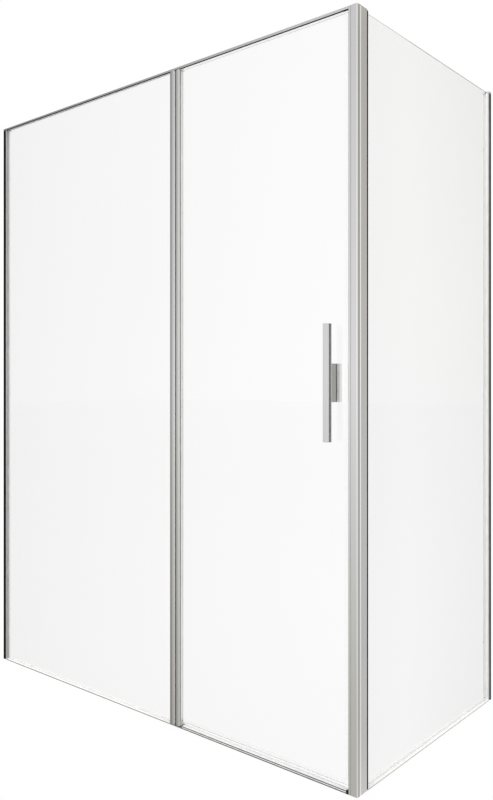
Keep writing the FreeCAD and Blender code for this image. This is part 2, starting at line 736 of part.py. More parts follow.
def make_door():
    """The door pane, with its magnetic closing seal and its drip seal."""
    handle_middle = door_right - size.handle_edge_gap - size.handle_width / 2
    corner = (door_left, front + glass_inset, size.door_bottom)
    glass = pane("door_glass", door_right - door_left, door_top - size.door_bottom, corner)
    centres = [(handle_middle - door_left, up - size.door_bottom) for up in handle_heights().values()]
    holes = [(centre, size.sleeve_radius) for centre in centres]
    cut(glass, "XZ_Plane", size.glass_thickness, circles=holes)

    wall, leg, pane_thickness = size.seal_wall, size.seal_leg, size.glass_thickness
    across = pane_thickness + wall * 2
    jamb_face = jamb_left - size.magnet_proud
    end = jamb_face - size.seal_contact_gap - door_right + leg
    clip = [(0, wall + pane_thickness), (leg, wall + pane_thickness), (leg, wall), (0, wall)]
    outline = [(0, 0), (end, 0), (end, across), (0, across), *clip]
    pocket = rectangle(leg + wall, wall, end - wall, wall + pane_thickness)
    seal_foot, seal_head = size.threshold_height + size.magnet_foot, rail_bottom - size.magnet_head
    seal = new_body("door_magnet_seal")
    pad(seal, "XY_Plane", seal_head - seal_foot, [outline, pocket])
    place(seal, (door_right - leg, front + glass_inset - wall, seal_foot))
    magnet = new_body("door_magnet")
    pad(magnet, "XY_Plane", seal_head - seal_foot, [rectangle(0, 0, end - leg - wall * 2, pane_thickness)])
    place(magnet, (door_right + wall, front + glass_inset, seal_foot))

    clear = size.threshold_height + size.seal_contact_gap
    web = size.door_bottom - clear
    root, shelf = web - wall, across - size.fin_thickness
    tip = across * FIN_TIP_SHARE
    fin = [(tip, 0), (tip + size.fin_thickness, 0), (across, root)]
    legs = [(across, web + leg), (wall + pane_thickness, web + leg), (wall + pane_thickness, web)]
    other = [(wall, web), (wall, web + leg), (0, web + leg), (0, root), (shelf, root)]
    drip = new_body("door_bottom_seal")
    pad(drip, "YZ_Plane", door_right - leg - stile_right - size.gasket_lip, [[*fin, *legs, *other]])
    place(drip, (stile_right + size.gasket_lip, front + glass_inset - wall, clear))


def handle_plate(label, length, thickness, inner_face, bolt_radius=None, edge=None):
    """A handle piece of the common width, standing outwards from its inner face."""
    bottom = size.handle_height - length / 2
    body = new_body(label)
    base = pad(body, "XZ_Plane", thickness, [rectangle(0, 0, size.handle_width, length)])
    if edge is not None:
        round_edges(body, base, edge, lambda side: True)
    if bolt_radius is not None:
        centres = [(size.handle_width / 2, up - bottom) for up in handle_heights().values()]
        holes = [(centre, bolt_radius) for centre in centres]
        cut(body, "XZ_Plane", thickness, circles=holes, reverse=True)
    handle_left = door_right - size.handle_edge_gap - size.handle_width
    place(body, (handle_left, inner_face, bottom))
    return body


def make_handle():
    """Bar and stand-off outside, grip inside, joined through the pane by two sleeved bolts."""
    outer_glass, inner_glass = front + glass_inset, front + glass_back
    block_face = outer_glass - size.outer_washer
    bar_face = block_face - size.block_thickness
    washer_face = inner_glass + size.inner_washer
    grip_face = washer_face + size.grip_thickness
    hole = size.bolt_radius + size.bolt_clearance
    length, edge = size.block_length, size.block_radius
    handle_plate("handle_bar", size.bar_length, size.bar_thickness, bar_face, edge=size.handle_radius)
    handle_plate("handle_block", length, size.block_thickness, block_face, hole, edge)
    handle_plate("handle_gasket_outer", length, size.outer_washer, outer_glass, hole)
    handle_plate("handle_gasket_inner", length, size.inner_washer, washer_face, hole)
    grip = handle_plate("handle_inner_grip", length, size.grip_thickness, grip_face, hole, edge)
    grip_bottom = size.handle_height - length / 2
    centres = [(size.handle_width / 2, up - grip_bottom) for up in handle_heights().values()]
    recesses = [(centre, size.bolt_head_radius + size.bolt_clearance) for centre in centres]
    cut(grip, "XZ_Plane", size.bolt_head_height, circles=recesses, reverse=True)

    middle = door_right - size.handle_edge_gap - size.handle_width / 2
    shank = grip_face - block_face + size.bolt_thread
    sleeve_outer = size.sleeve_radius - size.sleeve_clearance
    for name, height in handle_heights().items():
        bolt = new_body(f"handle_bolt_{name}")
        pad(bolt, "XZ_Plane", size.bolt_head_height, circles=[((0, 0), size.bolt_head_radius)])
        pad(bolt, "XZ_Plane", shank, circles=[((0, 0), size.bolt_radius)])
        place(bolt, (middle, grip_face, height))
        sleeve = new_body(f"handle_sleeve_{name}")
        pad(sleeve, "XZ_Plane", size.glass_thickness, circles=[((0, 0), sleeve_outer), ((0, 0), hole)])
        place(sleeve, (middle, inner_glass, height))


def write_pieces():
    """Check every object and write each piece to its own file."""
    doc.recompute()
    failed = [item.Label for item in doc.Objects if {"Invalid", "Error"} & set(item.State)]
    if failed:
        raise RuntimeError(f"objects that failed: {failed}")
    for piece in pieces:
        if piece.Shape.isNull() or not piece.Shape.isValid():
            raise RuntimeError(f"{piece.Label}: no valid shape")
    os.makedirs("parts", exist_ok=True)
    for piece in pieces:
        piece.Shape.exportStep(f"parts/{piece.Label}.step")


make_walls()
make_panes()
make_mullion()
make_corner()
make_rail()
make_pivots()
make_stile()
make_door()
make_handle()
write_pieces()
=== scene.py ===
"""Corner shower enclosure: finishes, fine pieces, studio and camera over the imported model."""

import logging
import math
from abc import ABC, abstractmethod
from collections.abc import Iterable, Sequence
from dataclasses import dataclass, field, replace
from enum import Enum
from typing import ClassVar, Self

import bpy
import numpy as np
from numpy.typing import NDArray
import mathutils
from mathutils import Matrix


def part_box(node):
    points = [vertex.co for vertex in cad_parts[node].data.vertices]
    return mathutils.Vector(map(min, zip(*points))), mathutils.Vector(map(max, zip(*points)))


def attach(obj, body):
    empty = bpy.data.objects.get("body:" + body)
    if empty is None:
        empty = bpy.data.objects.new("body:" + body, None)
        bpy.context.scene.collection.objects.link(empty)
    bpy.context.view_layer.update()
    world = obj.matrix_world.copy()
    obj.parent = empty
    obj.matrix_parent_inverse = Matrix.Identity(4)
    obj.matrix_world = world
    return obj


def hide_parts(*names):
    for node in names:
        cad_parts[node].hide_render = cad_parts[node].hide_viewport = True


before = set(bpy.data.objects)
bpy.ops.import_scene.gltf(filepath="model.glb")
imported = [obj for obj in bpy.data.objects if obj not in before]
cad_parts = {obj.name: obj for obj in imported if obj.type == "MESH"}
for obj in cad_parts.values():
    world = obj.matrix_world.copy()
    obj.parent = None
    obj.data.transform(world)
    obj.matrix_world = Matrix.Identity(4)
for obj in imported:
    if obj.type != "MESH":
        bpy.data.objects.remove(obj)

Array = NDArray[np.float64]
Point = tuple[float, float, float]
Vector = Point | Array
Colour = tuple[float, float, float]
Span = tuple[float, float]
Socket = bpy.types.NodeSocket
Inputs = dict[str, object] | dict[int, object]

RIGHT: Point = (1.0, 0.0, 0.0)
LEFT: Point = (-1.0, 0.0, 0.0)
BACK: Point = (0.0, 1.0, 0.0)
UP: Point = (0.0, 0.0, 1.0)

# Gap between a clear seal and the glass, so that light meets them one after the other.
AIR = 0.0001
# Reach of the rounding of a corner that looks sharp.
SHARP = 1.0e-5
# Faces that meet at more than this angle keep a hard edge between them.
CREASE = math.radians(32.0)
# Range that noise values usually keep to.
NOISE: Span = (0.3, 0.7)
# Size of the mottling in polymers and coats.
MOTTLE: Point = (0.03, 0.03, 0.03)
# Just under the sills' upper faces.
SILL_COAT_FROM = 0.0028
# Middles of the two wall channels, where their black outer legs and white inner legs meet.
FRONT_COAT_FROM = -0.379
SIDE_COAT_TO = 0.741
# From the edge of a channel's leg to its lock screws.
SCREW_INSET = 0.0035

log = logging.getLogger("enclosure")


class Axis(Enum):
    """Direction in which a length of profile or gasket was extruded."""

    X = 0
    Y = 1
    Z = 2


class Body(Enum):
    """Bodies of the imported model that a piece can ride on."""

    ENCLOSURE = "enclosure"
    DOOR = "door"


class Slot(Enum):
    """Material slots of the record, one named for each new piece."""

    PROFILE = "profile"
    HANDLE_METAL = "handle_metal"
    STEEL = "steel"
    BLACK_RUBBER = "black_rubber"
    GREY_GASKET = "grey_gasket"
    MILKY_GASKET = "milky_gasket"
    CLEAR_SEAL = "clear_seal"


class Tone(Enum):
    """Darkest and lightest shade of a moulded or extruded polymer."""

    BLACK = (0.004, 0.014)
    CHARCOAL = (0.09, 0.14)
    GREY = (0.27, 0.36)
    WHITE = (0.84, 0.91)


class Nodes:
    """Node tree of a material or of the world, with short ways to add nodes and join them."""

    def __init__(self, tree: bpy.types.NodeTree) -> None:
        """Keep the tree and empty it."""
        self.tree = tree
        tree.nodes.clear()

    def add(self, kind: str, inputs: Inputs | None = None, **settings: object) -> bpy.types.Node:
        """Add one node.

        Args:
            kind: Blender's name of the node without its ShaderNode prefix.
            inputs: by an input's name or place, the output to join to it or the value to set.
            settings: properties to set on the node.

        Returns:
            The new node.
        """
        node = self.tree.nodes.new(f"ShaderNode{kind}")
        for name, value in settings.items():
            setattr(node, name, value)
        for key, value in (inputs or {}).items():
            if isinstance(value, Socket):
                self.tree.links.new(value, node.inputs[key])
            else:
                node.inputs[key].default_value = value
        return node

    def out(self, kind: str, inputs: Inputs | None = None, **settings: object) -> Socket:
        """First output of a new node."""
        return self.add(kind, inputs, **settings).outputs[0]

    def grain(self, size: Point, detail: float = 2.0) -> Socket:
        """Noise on Object coordinates.

        Args:
            size: length of a feature along each axis, in metres.
            detail: number of finer octaves.

        Returns:
            The noise value, around 0.5.
        """
        spot = self.add("TexCoord").outputs["Object"]
        scaled = self.out("Mapping", {"Vector": spot, "Scale": tuple(1.0 / length for length in size)})
        return self.out("TexNoise", {"Vector": scaled, "Scale": 1.0, "Detail": detail})

    def spread(self, value: Socket, low: float, high: float) -> Socket:
        """Map a noise value from its usual range onto low to high, clamped."""
        return self.out("MapRange", dict(enumerate((value, *NOISE, low, high))))

    def ramp(self, value: Socket, stops: Iterable[tuple[float, Colour]]) -> Socket:
        """Colour ramp.

        Args:
            value: what the ramp reads.
            stops: position and colour of each stop, in rising order.

        Returns:
            The colour.
        """
        node, stops = self.add("ValToRGB", {0: value}), list(stops)
        elements = node.color_ramp.elements
        while len(elements) < len(stops):
            elements.new(0.5)
        for element, (position, colour) in zip(elements, stops):
            element.position = position
            element.color = (*colour, 1.0)
        return node.outputs["Color"]

    def sum_up(self, operation: str, *terms: Socket | float, kind: str = "Math") -> Socket:
        """One step of arithmetic on values, or on colours where the kind is VectorMath."""
        return self.out(kind, dict(enumerate(terms)), operation=operation)

    def relief(self, height: Socket, depth: float) -> Socket:
        """Bumped normal, from a height of 0 to 1 that stands for a depth in metres."""
        return self.out("Bump", {"Strength": 1.0, "Distance": depth, "Height": height})

    def blend(self, share: Socket, first: Socket, second: Socket) -> Socket:
        """Mix two shaders, the second by its share."""
        return self.out("MixShader", {0: share, 1: first, 2: second})

    def show(self, shader: Socket, kind: str = "Material") -> None:
        """Join a shader to the output of the material or the world."""
        self.add(f"Output{kind}", {"Surface": shader})

    def seen(self, path: bpy.types.NodeOutputs) -> Socket:
        """1 for a ray from the camera or through glass, from a Light Path node's outputs."""
        return self.sum_up("MAXIMUM", path["Is Camera Ray"], path["Is Transmission Ray"])


def grey(level: float) -> Colour:
    """Neutral colour of that level."""
    return (level, level, level)


def along(run: Axis | None, across: float, length: float) -> Point:
    """Feature size that is long in the run's direction, if there is one, and fine in the others."""
    return tuple(length if axis is run else across for axis in Axis)


@dataclass(frozen=True)
class Finish(ABC):
    """Finish that paints its node material once, and hands out the same one after that."""

    name: str
    run: Axis | None = field(default=None, kw_only=True)
    painted: ClassVar[dict[str, bpy.types.Material]] = {}

    @property
    def title(self) -> str:
        """Name of the material: the finish, and its run where it has one."""
        return f"{self.name}_{self.run.name.lower()}" if self.run else self.name

    def drawn(self, run: Axis) -> Self:
        """The same finish along a run."""
        return replace(self, run=run)

    @abstractmethod
    def paint(self, nodes: Nodes) -> None:
        """Add the nodes of the finish to a material's tree."""

    def material(self) -> bpy.types.Material:
        """The finish as a material.

        Returns:
            The material, which the first call paints.
        """
        if self.title not in self.painted:
            material = bpy.data.materials.new(self.title)
            material.use_nodes = True
            self.paint(Nodes(material.node_tree))
            self.painted[self.title] = material
        return self.painted[self.title]


@dataclass(frozen=True)
class DrawnMetal(Finish):
    """Metal with fine lines in the direction that it was drawn or brushed in."""

    shades: Span = (0.86, 0.92)
    roughness: Span = (0.09, 0.14)
    line_width: float = 0.0007
    line_length: float = 0.5
    line_depth: float = 2.0e-6
    cloud: float = 0.16
    cloud_range: Span = (0.85, 1.2)
    tone_stops: Span = (0.32, 0.68)
    cast: float = 0.995

    def paint(self, nodes: Nodes) -> None:
        """Lines along the run vary tone, roughness and height; broad clouds vary the roughness again.

        Args:
            nodes: the material's node tree.
        """
        lines = nodes.grain(along(self.run, self.line_width, self.line_length))
        clouds = nodes.grain(along(self.run, self.cloud / 4, self.cloud), 3.0)
        low, high = self.shades
        tones = zip(self.tone_stops, ((low, low, low * self.cast), grey(high)))
        rough, share = nodes.spread(lines, *self.roughness), nodes.spread(clouds, *self.cloud_range)
        surface = {
            "Metallic": 1.0,
            "Base Color": nodes.ramp(lines, tones),
            "Roughness": nodes.sum_up("MULTIPLY", rough, share),
            "Normal": nodes.relief(lines, self.line_depth),
        }
        nodes.show(nodes.out("BsdfPrincipled", surface))


@dataclass(frozen=True)
class ClearGlass(Finish):
    """Toughened glass, which lets lamplight through to what is behind it."""

    tints: tuple[Colour, Colour]
    patch: Point
    wave: Point
    wave_depth: float
    bending: float = 1.5

    def paint(self, nodes: Nodes) -> None:
        """Faint patches of tint and a slow wave in the surface, as the rollers of the furnace leave in it.

        Args:
            nodes: the material's node tree.
        """
        surface = {
            "Transmission Weight": 1.0,
            "IOR": self.bending,
            "Roughness": 0.0,
            "Base Color": nodes.ramp(nodes.grain(self.patch), zip(NOISE, self.tints)),
            "Normal": nodes.relief(nodes.grain(self.wave, 0.0), self.wave_depth),
        }
        clear = nodes.out("BsdfPrincipled", surface)
        lamps = nodes.out("BsdfTransparent", {"Color": (*self.tints[0], 1.0)})
        path = nodes.add("LightPath").outputs
        passing = nodes.sum_up("MAXIMUM", path["Is Shadow Ray"], path["Is Diffuse Ray"])
        nodes.show(nodes.blend(passing, clear, lamps))


@dataclass(frozen=True)
class ClearVinyl(Finish):
    """Soft clear vinyl: a thin skin that shows what is behind it, paler at its edges and die lines."""

    shades: Span = (0.80, 0.90)
    body: Span = (0.004, 0.02)
    roughness: Span = (0.14, 0.24)
    line_width: float = 0.0012
    line_length: float = 0.3
    line_depth: float = 1.0e-5
    cast: Colour = (1.0, 1.005, 1.01)
    film: Colour = (0.997, 0.998, 0.998)
    glance: float = 0.04

    def paint(self, nodes: Nodes) -> None:
        """Pale solid mixed into a clear film by a share that die lines vary and a glancing view raises.

        Args:
            nodes: the material's node tree.
        """
        lines, clouds = nodes.grain(along(self.run, self.line_width, self.line_length)), nodes.grain(MOTTLE)
        low, high = self.shades
        tones = zip(NOISE, (grey(low), tuple(high * tint for tint in self.cast)))
        surface = {
            "Base Color": nodes.ramp(clouds, tones),
            "Roughness": nodes.spread(lines, *self.roughness),
            "Normal": nodes.relief(lines, self.line_depth),
        }
        film = nodes.out("BsdfTransparent", {"Color": (*self.film, 1.0)})
        edge = nodes.add("LayerWeight", {"Blend": self.glance}).outputs["Fresnel"]
        share = nodes.sum_up("MAXIMUM", nodes.spread(lines, *self.body), edge)
        nodes.show(nodes.blend(share, film, nodes.out("BsdfPrincipled", surface)))


@dataclass(frozen=True)
class Polymer(Finish):
    """Rubber or plastic: mottled tone, fine surface texture, and die lines where it was extruded."""

    tone: Tone
    roughness: Span = (0.42, 0.58)
    speck: float = 0.0009
    depth: float = 6.0e-6
    shine: float = 0.5
    line_length: float = 0.2
    texture_range: Span = (0.7, 1.0)
    tone_stops: Span = (0.25, 0.6)

    def paint(self, nodes: Nodes) -> None:
        """Texture from specks, or from lines along the run; mottling varies the tone and roughness.

        Args:
            nodes: the material's node tree.
        """
        texture = nodes.grain(along(self.run, self.speck, self.line_length), 3.0)
        mottle = nodes.grain(MOTTLE, 4.0)
        both = nodes.sum_up("MULTIPLY", nodes.spread(texture, *self.texture_range), mottle)
        surface = {
            "Specular IOR Level": self.shine,
            "Base Color": nodes.ramp(both, zip(self.tone_stops, map(grey, self.tone.value))),
            "Roughness": nodes.spread(mottle, *self.roughness),
            "Normal": nodes.relief(texture, self.depth),
        }
        nodes.show(nodes.out("BsdfPrincipled", surface))


@dataclass(frozen=True)
class PartCoated(Finish):
    """Drawn metal that carries a white coat on one side of a level."""

    level: float
    across: Axis = Axis.Z
    coat_beyond: bool = True
    shades: Span = (0.84, 0.90)
    coat: Span = (0.90, 0.95)
    metal_roughness: Span = (0.12, 0.2)
    coat_roughness: Span = (0.5, 0.62)
    line_width: float = 0.0007
    line_length: float = 0.5
    line_depth: float = 3.0e-6

    def paint(self, nodes: Nodes) -> None:
        """Tone and roughness follow the drawn lines where it is bare, and the mottling of the coat elsewhere.

        Args:
            nodes: the material's node tree.
        """
        lines = nodes.grain(along(self.run, self.line_width, self.line_length))
        mottle = nodes.grain(MOTTLE, 4.0)
        spot = nodes.add("TexCoord").outputs["Object"]
        place = nodes.add("SeparateXYZ", {0: spot}).outputs[self.across.name]
        bare = nodes.sum_up("LESS_THAN" if self.coat_beyond else "GREATER_THAN", place, self.level)
        surface = {"Metallic": bare, "Normal": nodes.relief(lines, self.line_depth)}
        faces = (
            ("Base Color", self.coat, self.shades),
            ("Roughness", self.coat_roughness, self.metal_roughness),
        )
        for socket, coated, drawn in faces:
            both = {"A": nodes.spread(mottle, *coated), "B": nodes.spread(lines, *drawn)}
            surface[socket] = nodes.out("Mix", {"Factor": bare, **both})
        nodes.show(nodes.out("BsdfPrincipled", surface))


def dark_channel(name: str, level: float, across: Axis, coat_beyond: bool) -> PartCoated:
    """Upright wall channel, near-black outside and white on the leg inside the shower."""
    return PartCoated(f"dark_channel_{name}", level, across, coat_beyond, (0.004, 0.010), run=Axis.Z)


BRIGHT_PROFILE = DrawnMetal("bright_profile")
MATT_PROFILE = DrawnMetal("matt_profile", (0.85, 0.90), (0.56, 0.66), line_depth=4.0e-6)
SATIN_PROFILE = DrawnMetal("satin_profile", (0.84, 0.90), (0.24, 0.32), line_depth=3.0e-6)
HANDLE_METAL = DrawnMetal(
    "handle_metal", roughness=(0.07, 0.12), line_width=0.0004, line_length=0.05, line_depth=1.0e-6, run=Axis.Z
)
GRIP_METAL = DrawnMetal(
    "grip_metal", (0.92, 0.97), (0.10, 0.16), line_width=0.0004, line_length=0.05, run=Axis.Z
)
STEEL = DrawnMetal("brushed_steel", (0.54, 0.63), (0.24, 0.34), 0.0003, 0.02, 3.0e-6, run=Axis.X)
# Near-black steel on the rail's end block: painted shade that carries on the rail's dark underside.
SHADE_BLACK_STEEL = DrawnMetal(
    "blackened_steel", (0.012, 0.024), (0.26, 0.36), 0.0004, 0.02, 3.0e-6, run=Axis.X
)
SCREW_STEEL = DrawnMetal("screw_steel", (0.60, 0.68), (0.18, 0.26), 0.0003, 0.004, run=Axis.Z)
PLATED_CAP = DrawnMetal(
    "plated_cap", (0.82, 0.88), (0.12, 0.2), 0.0015, 0.0015, 3.0e-6, cloud=0.02, run=Axis.Z
)
COATED_SILL = PartCoated("coated_sill", SILL_COAT_FROM)
COATED_THRESHOLD = Polymer("coated_threshold", Tone.WHITE, (0.5, 0.62), run=Axis.X)
BLACK_RUBBER = Polymer("black_rubber", Tone.BLACK, shine=0.08)
# Charcoal polymer: the handle's real outer gasket, and painted groove shade on the threshold's front.
CHARCOAL_GASKET_AND_SHADE = Polymer("charcoal_gasket", Tone.CHARCOAL)
# Grey polymer: real gaskets, and also painted shade in the jamb's groove and on the stile gasket's nose.
GREY_GASKET = Polymer("grey_gasket", Tone.GREY, (0.5, 0.65))
MILKY_GASKET = Polymer("milky_gasket", Tone.WHITE, (0.4, 0.55))
BEARING_PLASTIC = Polymer("bearing_plastic", Tone.WHITE, (0.28, 0.4), speck=0.002)
MAGNET_STRIP = Polymer("magnet_strip", Tone.WHITE, (0.4, 0.5), run=Axis.Z)
CLEAR_VINYL = ClearVinyl("clear_vinyl")
GLASS = ClearGlass(
    "toughened_glass",
    tints=((0.989, 0.992, 0.990), (0.994, 0.996, 0.995)),
    patch=(0.7, 0.7, 0.5),
    wave=(0.4, 0.4, 0.22),
    wave_depth=4.0e-5,
)


@dataclass(frozen=True)
class Surface:
    """Points in metres, the four-sided faces between them, and any end faces."""

    points: Array
    quads: NDArray[np.int64]
    ends: tuple[tuple[int, ...], ...] = ()


def grid_faces(rows: int, columns: int) -> NDArray[np.int64]:
    """Faces of a grid of points that closes on itself along its rows.

    Each face joins point (i, j) to (i, j + 1), (i + 1, j + 1) and (i + 1, j), and j wraps round.

    Args:
        rows: number of rows of points.
        columns: points in a row.

    Returns:
        Indices of each face's corners.
    """
    i, j = np.meshgrid(np.arange(rows - 1), np.arange(columns), indexing="ij")
    row, after = i * columns, (j + 1) % columns
    return np.stack([row + j, row + after, row + columns + after, row + columns + j], -1).reshape(-1, 4)


def round_corners(corners: Sequence[Span], turned: dict[int, float], steps: int = 5) -> Array:
    """Round some corners of a closed outline.

    Each corner C becomes the parabola (1 - s)^2 A + 2 s (1 - s) C + s^2 B, where A and B lie on its two
    edges at the reach from it.

    Args:
        corners: the outline's corners, anticlockwise.
        turned: how far the rounding of a corner goes along its edges, by its place; the others stay sharp.
        steps: points on each corner.

    Returns:
        The points of the rounded outline.
    """
    middle, reach = np.array(corners), np.full((len(corners), 1), SHARP)
    reach[list(turned), 0] = list(turned.values())
    before, after = np.roll(middle, 1, axis=0) - middle, np.roll(middle, -1, axis=0) - middle
    start = middle + before / np.linalg.norm(before, axis=1)[:, None] * reach
    end = middle + after / np.linalg.norm(after, axis=1)[:, None] * reach
    s = np.linspace(0.0, 1.0, steps)[None, :, None]
    curve = (1 - s) ** 2 * start[:, None] + 2 * s * (1 - s) * middle[:, None] + s**2 * end[:, None]
    return curve.reshape(-1, 2)


def carry(outline: Array, start: Vector, run: Vector, across: Vector, up: Vector) -> Surface:
    """Carry a closed outline along a straight run and close both ends.

    Point (i, j) is start + i * run + u_j * across + v_j * up for i of 0 and 1. The outline goes round
    anticlockwise in (u, v), and the faces are turned where across, up and run make a left-handed set.

    Args:
        outline: points (u, v) of the outline.
        start: where the outline's origin starts.
        run: the run from one end to the other.
        across: direction of u.
        up: direction of v.

    Returns:
        The closed surface.
    """
    first = np.asarray(start) + outline[:, :1] * np.asarray(across) + outline[:, 1:] * np.asarray(up)
    points = np.concatenate([first, first + np.asarray(run)])
    count = len(outline)
    quads, low, high = grid_faces(2, count), np.arange(count)[::-1], np.arange(count, 2 * count)
    if np.dot(np.cross(across, up), run) < 0:
        quads, low, high = quads[:, ::-1], low[::-1], high[::-1]
    return Surface(points, quads, (tuple(low.tolist()), tuple(high.tolist())))


def carry_up(outline: Array, start: Vector, height: float) -> Surface:
    """Carry an outline in width and depth upward."""
    return carry(outline, start, (0.0, 0.0, height), RIGHT, BACK)


def carry_right(outline: Array, start: Vector, length: float) -> Surface:
    """Carry an outline in depth and height to the right."""
    return carry(outline, start, (length, 0.0, 0.0), BACK, UP)


def turn(radius: Array, height: Array, base: Vector, axis: Point, side: Point) -> Surface:
    """Rings of points about an axis, closed by a point at each end.

    Point (i, j) is base + height_ij * axis + radius_ij * (cos(t) * side + sin(t) * axis x side) at the
    angle t = 2 pi j / columns. The rings run from the centre of the top, out and down, to the
    centre of the bottom; the first and last rings shrink to one point each.

    Args:
        radius: radius at each ring and angle.
        height: height at each ring and angle.
        base: point on the axis at height 0.
        axis: unit direction of the top.
        side: unit direction of angle 0.

    Returns:
        The closed surface.
    """
    rings, columns = radius.shape
    t = 2 * np.pi * np.arange(columns) / columns
    spoke = np.cos(t)[:, None] * np.asarray(side) + np.sin(t)[:, None] * np.cross(axis, side)
    points = np.asarray(base) + height[..., None] * np.asarray(axis) + radius[..., None] * spoke
    inner = points[1:-1].reshape(-1, 3)
    poles = np.stack([points[0].mean(axis=0), points[-1].mean(axis=0)])
    quads = grid_faces(rings - 2, columns)[:, ::-1]
    j = np.arange(columns)
    after, top, last = (j + 1) % columns, np.full(columns, len(inner)), (rings - 3) * columns
    fans = np.concatenate([np.stack([top, j, after], -1), np.stack([top + 1, last + after, last + j], -1)])
    return Surface(np.concatenate([inner, poles]), quads, tuple(map(tuple, fans.tolist())))


def box_of(node: str) -> tuple[Array, Array]:
    """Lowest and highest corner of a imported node."""
    low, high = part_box(node)
    return np.asarray(low), np.asarray(high)


class SubAssembly:
    """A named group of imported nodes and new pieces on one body."""

    body: ClassVar[Body] = Body.ENCLOSURE
    finishes: ClassVar[dict[str, Finish]] = {}

    def coats(self) -> dict[str, Finish]:
        """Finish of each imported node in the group, by name."""
        return self.finishes

    def build(self) -> None:
        """Make the group's new pieces; a group without any makes none."""

    def add(self, name: str, surface: Surface, slot: Slot, finish: Finish) -> bpy.types.Object:
        """Put a surface into a mesh object that rides on the group's body.

        Args:
            name: the piece's name.
            surface: its points and faces.
            slot: not used.
            finish: the finish it gets.

        Returns:
            The object.
        """
        mesh = bpy.data.meshes.new(name)
        mesh.from_pydata(surface.points.tolist(), [], [*surface.quads.tolist(), *surface.ends])
        mesh.polygons.foreach_set("use_smooth", np.ones(len(mesh.polygons), dtype=bool))
        mesh.set_sharp_from_angle(angle=CREASE)
        mesh.materials.append(finish.material())
        mesh.update()
        piece = bpy.data.objects.new(name, mesh)
        bpy.context.scene.collection.objects.link(piece)
        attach(piece, self.body.value)
        log.info("%s: %d faces, rides on %s", name, len(mesh.polygons), self.body.value)
        return piece

    def dress(self) -> None:
        """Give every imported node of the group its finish."""
        for name, finish in self.coats().items():
            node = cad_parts[name]
            if not node.material_slots:
                node.data.materials.append(finish.material())
            for slot in node.material_slots:
                slot.material = finish.material()
            log.info("%s: %s", name, finish.title)


@dataclass
class LockScrew:
    """Pan-head screw with a cross recess, seated on a face."""

    head_radius: float = 0.0036
    head_height: float = 0.0019
    recess_half_width: float = 0.0005
    recess_reach: float = 0.0021
    recess_depth: float = 0.0011
    recess_edge: float = 0.00018
    rings: int = 22
    columns: int = 64

    def surface(self, seat: Vector, axis: Point, side: Point) -> Surface:
        """Head of the screw.

        Height is head_height * (1 - (r / R)^4)^(1/2), less the recess: a smooth step to its depth where the
        smaller of |x| and |y| is inside the half width and the larger is inside the reach.

        Args:
            seat: centre of the head on the face.
            axis: direction out of the face.
            side: direction of one arm of the cross.

        Returns:
            The head as a closed surface.
        """
        r = np.append(np.linspace(0.0, 1.0, self.rings), 0.0)[:, None] * self.head_radius
        t = (2 * np.pi * np.arange(self.columns) / self.columns)[None, :]
        x, y = np.abs(r * np.cos(t)), np.abs(r * np.sin(t))
        inside = np.clip((self.recess_half_width - np.minimum(x, y)) / self.recess_edge + 0.5, 0, 1)
        inside = inside * np.clip((self.recess_reach - np.maximum(x, y)) / self.recess_edge + 0.5, 0, 1)
        dome = self.head_height * np.sqrt(np.clip(1 - (r / self.head_radius) ** 4, 0, 1))
        height = dome - self.recess_depth * inside
        height[-1] = 0.0
        return turn(np.broadcast_to(r, height.shape), height, seat, axis, side)


@dataclass
class WallFixing(SubAssembly):
    """Channel on a wall, with the glazing profile that slides in it and the screws that lock it."""

    name: str
    seat: Point
    outward: Point
    gaskets: tuple[str, str]
    channel: PartCoated
    profile: DrawnMetal
    outer_gasket: Polymer
    heights: tuple[float, ...] = (0.18, 0.975, 1.77)
    screw: LockScrew = field(default_factory=LockScrew)

    def coats(self) -> dict[str, Finish]:
        """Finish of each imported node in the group, by name."""
        outer, inner = self.gaskets
        return {
            f"wall_channel_{self.name}": self.channel,
            f"glazing_profile_{self.name}": self.profile,
            outer: self.outer_gasket,
            inner: MILKY_GASKET.drawn(Axis.Z),
            f"wall_cap_{self.name}": PLATED_CAP,
        }

    def build(self) -> None:
        """Lock screws on the channel's inside face."""
        x, y, _ = self.seat
        for number, height in enumerate(self.heights, start=1):
            head = self.screw.surface((x, y, height), self.outward, UP)
            self.add(f"lock_screw_{self.name}_{number}", head, Slot.STEEL, SCREW_STEEL)


@dataclass
class Screen(SubAssembly):
    """Pane that stands on a sill, with a clear cushion under it and a milky bead along its outer foot."""

    name: str
    run: Axis
    bead_high: float
    bead_thick: float = 0.0005

    def coats(self) -> dict[str, Finish]:
        """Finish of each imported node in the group, by name."""
        return {f"{self.name}_glass": GLASS, f"{self.name}_sill": COATED_SILL.drawn(self.run)}

    def build(self) -> None:
        """Cushion and bead: two rectangles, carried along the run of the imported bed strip.

        The cushion ends a hair below the pane. The bead stands on its upper outer edge, and has a round
        upper outer corner.
        """
        strip = f"{self.name}_bed_strip"
        low, high = box_of(strip)
        ways = np.eye(3)
        across, run = ways[1 - self.run.value], (high - low) * ways[self.run.value]
        wide, top = float((high - low) @ across), float(high[2] - low[2]) - AIR
        cushion = carry(np.array([(0.0, 0.0), (wide, 0.0), (wide, top), (0.0, top)]), low, run, across, UP)
        piece = self.add(f"{self.name}_bed_cushion", cushion, Slot.CLEAR_SEAL, CLEAR_VINYL.drawn(self.run))
        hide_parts(strip)
        left, turned = (-self.bead_thick, 3) if self.run is Axis.X else (wide, 2)
        right, tip = left + self.bead_thick, top + self.bead_high
        corners = [(left, top), (right, top), (right, tip), (left, tip)]
        bead = carry(round_corners(corners, {turned: self.bead_thick / 2}), low, run, across, UP)
        self.add(f"{self.name}_foot_bead", bead, Slot.MILKY_GASKET, MILKY_GASKET.drawn(self.run))


